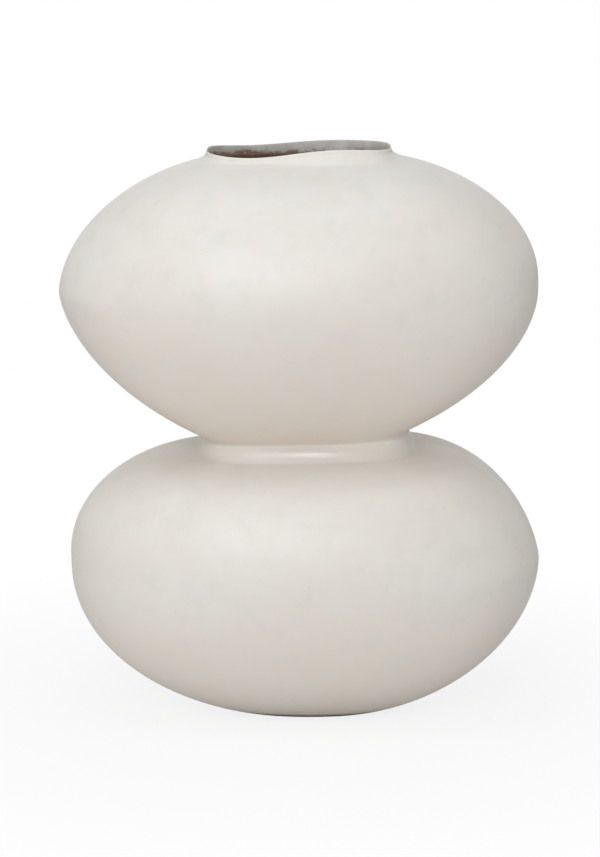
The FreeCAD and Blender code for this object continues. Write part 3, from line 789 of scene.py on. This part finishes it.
def mouth_collar_rows():
    """The collar's outside, its rolled lip and its bore as one strip of rows, and how far glaze covers them.

    The outside follows the flare. The roll goes over to the crest as a quarter of an ellipse, and from there
    the inside tapers down to the bore by a power of the share of its way, and falls straight to the joint.
    Heights swing by a sine of the place across, more at the left and the front than at the right and the
    back, and in full at the lip and not at all at the joint. The glaze thins on the crest and, past a narrow
    rim, is that of the mouth.
    """
    joint = mouth_flare(MOUTH_JOINT_SHARE)[1]
    rim = SHOULDER_TOP + MOUTH_RISE - LIP_ROLL
    crest = rim + LIP_ROLL
    up, over, taper = shares(0, 1, 18), shares(0, math.pi / 2, 9)[1:], shares(0, 1, 16)[1:]
    flare_width, flare_height = mouth_flare(MOUTH_JOINT_SHARE + (1 - MOUTH_JOINT_SHARE) * up)
    half_width = np.concatenate([flare_width, np.full((len(over) + len(taper), 1), LIP_HALF_WIDTH)])
    inward = LIP_WALL * np.concatenate([
        up * 0,
        LIP_CREST_SHARE * (1 - np.cos(over)),
        LIP_CREST_SHARE + (1 - LIP_CREST_SHARE) * taper,
    ])
    heights = np.concatenate([
        flare_height,
        rim + LIP_ROLL * np.sin(over),
        crest - LIP_TAPER * taper**LIP_TAPER_POWER,
    ])
    swing = np.concatenate([up, over * 0 + 1, 1 - taper**2])
    uneven = 1 - LIP_WAVE_LEFT_SHARE * column_across - LIP_WAVE_FRONT_SHARE * column_back
    heights = heights + LIP_WAVE * uneven * np.sin(math.pi * column_across) * swing
    heights[len(up) + len(over):] += (joint - crest + LIP_TAPER) * taper**3
    half_depth = half_width * DEPTH_SHARE
    rows = lean_over(half_width - inward, half_depth - inward, NECK_SQUARENESS, MOUTH_DRIFT, heights)
    thin = LIP_THINNING * np.concatenate([up**8, over * 0 + 1, (1 - taper) ** 4])
    inside = np.concatenate([up * 0, over * 0, np.minimum(taper / LIP_RIM_SHARE, 1)])
    return rows, (1 - thin) * (1 - inside) + inside * mouth_glaze(rows)


collar_rows, collar_glaze = mouth_collar_rows()
mouth_collar = skin("glazed_mouth_collar", [
    collar_rows,
    np.stack([collar_rows[-1], collar_rows[0]]),
], [collar_glaze, 0])
mouth_collar.data.materials.append(ivory_glaze)
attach(mouth_collar, "root")
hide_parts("mouth_collar")

# Floor. A white table, which keeps the vase's soft shadow near its foot and runs out into the white
# background. Its lengths are in metres, and it lies a hair under the foot.

TABLE_RADIUS = 9.0
TABLE_SIDES = 96
TABLE_DROP = 0.00005
TABLE_GREY = 0.86
TABLE_ROUGHNESS = 0.8
SHADOW_NEAR, SHADOW_FAR = 0.12, 0.34
WHITE_NEAR = 0.84


def white_table():
    """White to the camera, less a part of the shadow that falls on it near the vase. The share that stays
    white grows evenly with the distance from the vase's middle, until far enough off it is the whole."""
    material = bpy.data.materials.new("white_table")
    material.use_nodes = True
    tree = material.node_tree
    surface = tree.nodes["Principled BSDF"]
    surface.inputs["Base Color"].default_value = (TABLE_GREY, TABLE_GREY, TABLE_GREY, 1.0)
    surface.inputs["Roughness"].default_value = TABLE_ROUGHNESS
    white = tree.nodes.new("ShaderNodeEmission")
    place = tree.nodes.new("ShaderNodeTexCoord")
    distance = tree.nodes.new("ShaderNodeVectorMath")
    distance.operation = "LENGTH"
    tree.links.new(place.outputs["Object"], distance.inputs[0])
    whitened = spread(tree, distance.outputs["Value"], SHADOW_NEAR, SHADOW_FAR, WHITE_NEAR, 1.0)
    path = tree.nodes.new("ShaderNodeLightPath")
    seen = tree.nodes.new("ShaderNodeMath")
    seen.operation = "MAXIMUM"
    tree.links.new(path.outputs["Is Camera Ray"], seen.inputs[0])
    tree.links.new(path.outputs["Is Transmission Ray"], seen.inputs[1])
    share = tree.nodes.new("ShaderNodeMath")
    share.operation = "MULTIPLY"
    tree.links.new(whitened, share.inputs[0])
    tree.links.new(seen.outputs[0], share.inputs[1])
    mix = tree.nodes.new("ShaderNodeMixShader")
    tree.links.new(share.outputs[0], mix.inputs[0])
    tree.links.new(surface.outputs[0], mix.inputs[1])
    tree.links.new(white.outputs[0], mix.inputs[2])
    tree.links.new(mix.outputs[0], tree.nodes["Material Output"].inputs["Surface"])
    return material


turns = np.arange(TABLE_SIDES) * 2 * math.pi / TABLE_SIDES
table_edge = np.stack([
    TABLE_RADIUS * np.cos(turns),
    TABLE_RADIUS * np.sin(turns),
    turns * 0 - TABLE_DROP,
], axis=-1)
table_mesh = bpy.data.meshes.new("table")
table_mesh.from_pydata(table_edge.tolist(), [], [list(range(TABLE_SIDES))])
table = bpy.data.objects.new("table", table_mesh)
table.data.materials.append(white_table())
bpy.context.scene.collection.objects.link(table)

# Light. A white room lights the vase softly from all round, with soft lamps in front, at the left and above,
# and a narrow one at the right. Places and sizes are in metres, and powers in watts.

VASE_MIDDLE_HEIGHT = 0.15
ROOM_STRENGTH = 0.40
ROOM_COLOUR = (1.0, 0.985, 0.966)


def white_room():
    """A world that is white to the camera and in reflections, and lights everything else at its strength."""
    world = bpy.data.worlds.new("white_room")
    world.use_nodes = True
    tree = world.node_tree
    room = tree.nodes["Background"]
    room.inputs["Color"].default_value = (*ROOM_COLOUR, 1.0)
    room.inputs["Strength"].default_value = ROOM_STRENGTH
    seen = tree.nodes.new("ShaderNodeBackground")
    seen.inputs["Color"].default_value = (1.0, 1.0, 1.0, 1.0)
    path = tree.nodes.new("ShaderNodeLightPath")
    rays = path.outputs["Is Camera Ray"]
    for name in ("Is Glossy Ray", "Is Transmission Ray"):
        either = tree.nodes.new("ShaderNodeMath")
        either.operation = "MAXIMUM"
        tree.links.new(rays, either.inputs[0])
        tree.links.new(path.outputs[name], either.inputs[1])
        rays = either.outputs[0]
    mix = tree.nodes.new("ShaderNodeMixShader")
    tree.links.new(rays, mix.inputs[0])
    tree.links.new(room.outputs[0], mix.inputs[1])
    tree.links.new(seen.outputs[0], mix.inputs[2])
    tree.links.new(mix.outputs[0], tree.nodes["World Output"].inputs["Surface"])
    return world


def lamp(name, place, width, height, power, colour=(1.0, 1.0, 1.0)):
    """A soft rectangular lamp at a place in metres that faces the middle of the vase."""
    light = bpy.data.lights.new(name, "AREA")
    light.shape = "RECTANGLE"
    light.size = width
    light.size_y = height
    light.energy = power
    light.color = colour
    holder = bpy.data.objects.new(name, light)
    holder.location = place
    right, away, up = np.array([0, 0, VASE_MIDDLE_HEIGHT]) - np.array(place)
    holder.rotation_euler = (math.atan2(math.hypot(right, away), -up), 0, math.atan2(-right, away))
    bpy.context.scene.collection.objects.link(holder)


bpy.context.scene.world = white_room()
lamp("front_lamp", (-0.32, -1.90, 1.05), 0.8, 0.8, 15.0, (0.99, 0.99, 1.0))
lamp("left_lamp", (-1.90, -0.80, 0.80), 1.6, 1.6, 2.8, (0.98, 0.99, 1.0))
lamp("top_lamp", (-0.2, -0.50, 1.90), 1.4, 1.2, 8.2, (0.94, 0.97, 1.0))
lamp("side_lamp", (1.4, 0.1, 0.40), 0.14, 1.0, 0.3)

# Camera. It stands in front of the vase and a little above it, with a long lens, and looks slightly down. Its
# places are in metres, and its lens and sensor in millimetres.

CAMERA_ACROSS = -0.00046
CAMERA_DISTANCE = 1.6
CAMERA_HEIGHT = 0.4649
CAMERA_AIM_HEIGHT = 0.151

camera = bpy.data.objects.new("camera", bpy.data.cameras.new("camera"))
camera.data.sensor_fit = "VERTICAL"
camera.data.sensor_height = 36.0
camera.data.lens = 129.68
camera.location = (CAMERA_ACROSS, -CAMERA_DISTANCE, CAMERA_HEIGHT)
camera.rotation_euler = (math.atan2(CAMERA_DISTANCE, CAMERA_HEIGHT - CAMERA_AIM_HEIGHT), 0, 0)
bpy.context.scene.collection.objects.link(camera)
bpy.context.scene.camera = camera
bpy.context.scene.view_settings.view_transform = "Standard"
